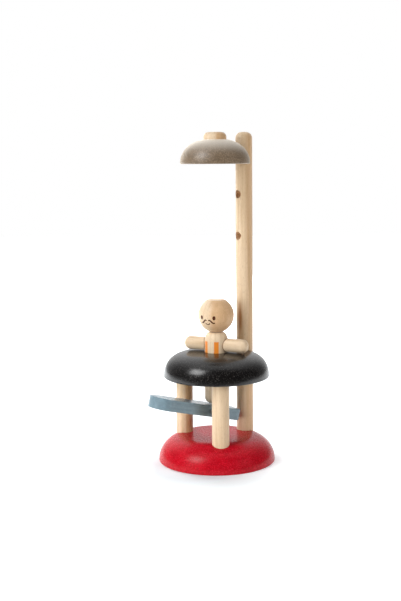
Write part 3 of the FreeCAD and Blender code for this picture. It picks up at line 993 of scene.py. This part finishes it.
class DriveScrews(bpy.types.Operator):
    """Make the three screws under the base and the keeper screw in the hat"""
    bl_idname = "acrobat.drive_screws"
    bl_label = "Drive the Screws"

    def execute(self, context):
        plated = metal("zinc plated steel", (0.58, 0.58, 0.56), 0.3, UP)
        screw("threaded_post_screws", ("pole", "left_post", "right_post"), POST_SCREW, plated,
              "stand", "steel", "post_screws")
        blackened = metal("blackened steel", (0.10, 0.085, 0.07), 0.35, UP)
        screw("threaded_keeper", ("hat_screw",), KEEPER_SCREW, blackened,
              "hat", "dark_steel", "hat_screw")
        return {"FINISHED"}


class FinishFigure(bpy.types.Operator):
    """Give the head, arms and torso their wood, with the painted braces and trunks"""
    bl_idname = "acrobat.finish_figure"
    bl_label = "Finish the Figure"

    def execute(self, context):
        dress("head", waxed_head())
        dress("arms", glued_arms())
        dress("torso", painted_torso())
        return {"FINISHED"}


# Brush strokes on the unrolled face in millimetres to the right and up, from the head's middle
# height, and how blunt the strokes' ends are
MOUSTACHE_HALF = (
    (0.6, -3.4), (1.9, -2.9), (3.2, -3.5), (4.4, -4.7), (5.7, -5.65), (7.0, -5.75), (7.6, -4.9)
)
SMILE = ((-2.6, -5.7), (-1.6, -6.8), (0.0, -7.3), (1.6, -6.8), (2.6, -5.7))
BLUNTNESS = {"eyes": 2.0, "moustache": 3.0, "smile": 6.0}


def stroke(points, side=1):
    return [(side * x / MILLIMETRES, y / MILLIMETRES, 0) for x, y in points]


class PaintFace(bpy.types.Operator):
    """Paint two oval eyes, a curled moustache and a small smile on the head"""
    bl_idname = "acrobat.paint_face"
    bl_label = "Paint the Face"

    def execute(self, context):
        settings = context.scene.acrobat_face
        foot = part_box("head")[0].z
        ball = {
            "Ball Centre": (0.0, 0.0, foot + HEAD_CENTRE_RISE), "Ball Radius": round_radius("head"),
            "Facing": FACE_AZIMUTH, "Paint Depth": settings.paint_depth, "Material": face_paint(),
        }
        half_eye = settings.eye_height / 2
        heights = [rise - settings.eye_drop for rise in (half_eye, 0, -half_eye)]
        eyes = [[(side * settings.eye_aside, height, 0) for height in heights] for side in (-1, 1)]
        moustache = [stroke(MOUSTACHE_HALF, side) for side in (-1, 1)]
        for name, strokes, width in (
            ("eyes", eyes, settings.eye_width),
            ("moustache", moustache, settings.moustache_width),
            ("smile", [stroke(SMILE)], settings.smile_width),
        ):
            guide = guide_lines(name + "_lines", strokes)
            values = {**ball, "Stroke Width": width, "Bluntness": BLUNTNESS[name]}
            piece = grow(name, painted_strokes(), guide, values)
            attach(piece, "figure")
        return {"FINISHED"}


class StainDiscs(bpy.types.Operator):
    """Stain the base red, the deck black and the hat grey"""
    bl_idname = "acrobat.stain_discs"
    bl_label = "Stain the Discs"

    def execute(self, context):
        stain = context.scene.acrobat_stain
        dress("base", chip_stain("red stain", "base", stain.red, None, *BASE_CHIPS))
        dress("deck", chip_stain("black stain", "deck", stain.black, None, *DECK_CHIPS))
        dress("hat_dome", chip_stain("grey stain", "hat_dome", stain.grey, stain.pale, *HAT_CHIPS))
        return {"FINISHED"}


class StainLever(bpy.types.Operator):
    """Stain the rocker lever grey-blue"""
    bl_idname = "acrobat.stain_lever"
    bl_label = "Stain the Lever"

    def execute(self, context):
        dress("lever", lever_stain())
        return {"FINISHED"}


class FinishMetal(bpy.types.Operator):
    """Give the axle and the magnet their metal"""
    bl_idname = "acrobat.finish_metal"
    bl_label = "Finish the Metal"

    def execute(self, context):
        dress("lever_axle", metal("drawn steel", (0.56, 0.56, 0.57), 0.22, (0, 1, 0)))
        dress("head_magnet", metal("nickel plate", (0.66, 0.62, 0.56), 0.14, (1, 0, 0)))
        return {"FINISHED"}


class SetStage(bpy.types.Operator):
    """Set the floor, the soft light and the camera"""
    bl_idname = "acrobat.set_stage"
    bl_label = "Set the Stage"

    def execute(self, context):
        context.scene.view_settings.view_transform = "Standard"
        settings = context.scene.acrobat_stage
        lay_floor(settings)
        light_room(context.scene, settings)
        for name, facts in LAMPS.items():
            hang_lamp(name, getattr(settings, name + "_power"), *facts)
        place_camera(context.scene, settings)
        return {"FINISHED"}


# Stage. Angles to the camera's right, seen from the toy, and upwards

CAMERA_PITCH = math.radians(4.620)      # downwards
CAMERA_YAW = math.radians(-0.856)       # to the right
CAMERA_ROLL = math.radians(-0.451)
CLIPPING = (0.05, 20)
LAMP_DISTANCE = 1.4
LAMPS = {           # angle to the right and upwards in degrees, size in metres, whether gloss shows it
    "key": (-53, 40, 0.6, True),
    "side": (-53, 8, 0.7, False),
    "rear": (-145, 20, 0.8, False),
    "sheet": (180, 25, 1.6, False),
    "fill": (60, 20, 0.7, False),
}
WINDOW_RISE = math.radians(40)
WINDOW_EDGE = (0.1, 0.6)                # cosines between which the pale room behind the toy begins
RIGHT_FALL = (0.3, 0.9, 1.0, 0.15)      # and how it darkens towards the right
LEFT_FALL = (-0.3, -0.9, 1.0, 0.2)      # and the left
EVEN_TINT = (1.0, 0.88, 0.76)
FLOOR_ROUGHNESS = 0.9
SHADOW_PLACE = 0.034 * bearing(0) - 0.024 * RIGHT_OF_VIEW
SHADOW_REACH = (32, 80)                 # from the shadow's middle, in millimetres
LIGHT_REACH = (80, 500)                 # where the lamps' light on the floor runs out, in millimetres


def lay_floor(settings):
    near, far, side = settings.floor_front, -settings.floor_reach, settings.floor_reach
    corners = [bearing(0) * depth + RIGHT_OF_VIEW * across
               for depth, across in ((near, -side), (near, side), (far, side), (far, -side))]
    mesh = plain_mesh("floor", corners, [], [(0, 1, 2, 3)])
    mesh.materials.append(floor_material(settings))
    link("floor", mesh)


def mirrored(steps, rays):
    """Whether a ray comes off gloss or through glass."""
    return steps.math("MAXIMUM", rays["Is Glossy Ray"], rays["Is Transmission Ray"])


def floor_material(settings):
    """Pale paper that glows to the camera and in gloss, less where it keeps the toy's shadow."""
    steps = Finish("pale floor")
    grain = steps.noise(steps.place, 2.0, 0.5, 0.02)
    paper = steps.mix(grain, settings.floor, toned(settings.floor, 0.985))
    rays = steps.add("ShaderNodeLightPath")
    looked_at = steps.math("MAXIMUM", rays["Is Camera Ray"], mirrored(steps, rays))
    from_shadow = (steps.place - SHADOW_PLACE * MILLIMETRES).length()
    lift = from_shadow.slope(*SHADOW_REACH) * settings.floor_lift
    lift = steps.math("MAXIMUM", lift, from_shadow.slope(*LIGHT_REACH))
    steps.shader.feed({
        "Base Color": steps.mix(looked_at, settings.floor_bounce, paper),
        "Roughness": FLOOR_ROUGHNESS, "Emission Color": WHITE, "Emission Strength": looked_at * lift,
    })
    return steps.material


def light_room(scene, settings):
    """Weak even light, with the pale room behind the toy seen by the camera and in gloss."""
    world = bpy.data.worlds.new("room")
    world.use_nodes = True
    steps = Steps(world.node_tree)
    world.node_tree.nodes.clear()
    rays = steps.add("ShaderNodeLightPath")
    looking = steps.add("ShaderNodeTexCoord")["Generated"]
    window = UP * math.sin(WINDOW_RISE) - bearing(0) * math.cos(WINDOW_RISE)
    towards_window = steps.math("DOT_PRODUCT", looking, window).ramp(*WINDOW_EDGE)
    aside = steps.math("DOT_PRODUCT", looking, RIGHT_OF_VIEW)
    sides = aside.ramp(*RIGHT_FALL) * aside.ramp(*LEFT_FALL)
    room = steps.mix(towards_window * sides, BLACK, WHITE)
    even, glossy, white = (
        steps.add("ShaderNodeBackground", {"Color": tone, "Strength": strength})[0]
        for tone, strength in ((EVEN_TINT, settings.ambient), (room, 1.0), (WHITE, 1.0))
    )
    lit = steps.add("ShaderNodeMixShader", {0: mirrored(steps, rays), 1: even, 2: glossy})[0]
    seen = steps.add("ShaderNodeMixShader", {0: rays["Is Camera Ray"], 1: lit, 2: white})[0]
    steps.add("ShaderNodeOutputWorld", {"Surface": seen})
    scene.world = world


def hang_lamp(name, watts, angle, elevation, size, in_gloss):
    """A square soft light turned towards the middle of the toy."""
    lamp = bpy.data.lights.new(name + "_light", "AREA")
    lamp.shape = "SQUARE"
    lamp.size = size
    lamp.energy = watts
    rise = math.radians(elevation)
    direction = bearing(math.radians(angle)) * math.cos(rise) + UP * math.sin(rise)
    piece = link(name + "_light", lamp)
    piece.location = UP * box_centre("pole").z + direction * LAMP_DISTANCE
    piece.rotation_euler = direction.to_track_quat("Z", "Y").to_euler()
    piece.visible_glossy = in_gloss


def place_camera(scene, settings):
    """The photograph's camera, found from the outlines of the discs and dowels."""
    data = bpy.data.cameras.new("camera")
    data.lens = settings.lens
    data.shift_y = -settings.frame_drop
    data.clip_start, data.clip_end = CLIPPING
    camera = link("camera", data)
    place = bearing(0) * settings.camera_distance + UP * settings.camera_height
    camera.matrix_world = (
        Matrix.Translation(place)
        @ Matrix.Rotation(VIEW_AZIMUTH + math.pi / 2 - CAMERA_YAW, 4, "Z")
        @ Matrix.Rotation(math.pi / 2 - CAMERA_PITCH, 4, "X")
        @ Matrix.Rotation(CAMERA_ROLL, 4, "Z")
    )
    scene.camera = camera


class AcrobatPanel(bpy.types.Panel):
    """Lists the steps and settings of the toy"""
    bl_idname = "VIEW3D_PT_acrobat"
    bl_label = "Wooden Acrobat"
    bl_space_type = "VIEW_3D"
    bl_region_type = "UI"
    bl_category = "Acrobat"

    def draw(self, context):
        for operator in OPERATORS:
            self.layout.operator(operator.bl_idname)
        for name, group in SETTINGS.items():
            section = self.layout.box()
            settings = getattr(context.scene, name)
            for field in group.__annotations__:
                section.prop(settings, field)


SETTINGS = {
    "acrobat_wood": WoodSettings,
    "acrobat_stain": StainSettings,
    "acrobat_paint": PaintSettings,
    "acrobat_face": FaceSettings,
    "acrobat_pole": PoleSettings,
    "acrobat_screws": ScrewSettings,
    "acrobat_stage": StageSettings,
}
OPERATORS = (
    SetStage, StainDiscs, StainLever, FinishDowels, DrillPole, FinishFigure, PaintFace, DriveScrews,
    FinishMetal,
)
CLASSES = (*SETTINGS.values(), *OPERATORS, AcrobatPanel)


def register():
    for registered in CLASSES:
        bpy.utils.register_class(registered)
    for name, group in SETTINGS.items():
        setattr(bpy.types.Scene, name, PointerProperty(type=group))


def unregister():
    for name in SETTINGS:
        delattr(bpy.types.Scene, name)
    for registered in reversed(CLASSES):
        bpy.utils.unregister_class(registered)


def main():
    register()
    bpy.ops.acrobat.set_stage()
    bpy.ops.acrobat.stain_discs()
    bpy.ops.acrobat.stain_lever()
    bpy.ops.acrobat.finish_dowels()
    bpy.ops.acrobat.drill_pole()
    bpy.ops.acrobat.finish_figure()
    bpy.ops.acrobat.paint_face()
    bpy.ops.acrobat.drive_screws()
    bpy.ops.acrobat.finish_metal()


if __name__ == "__main__":
    main()
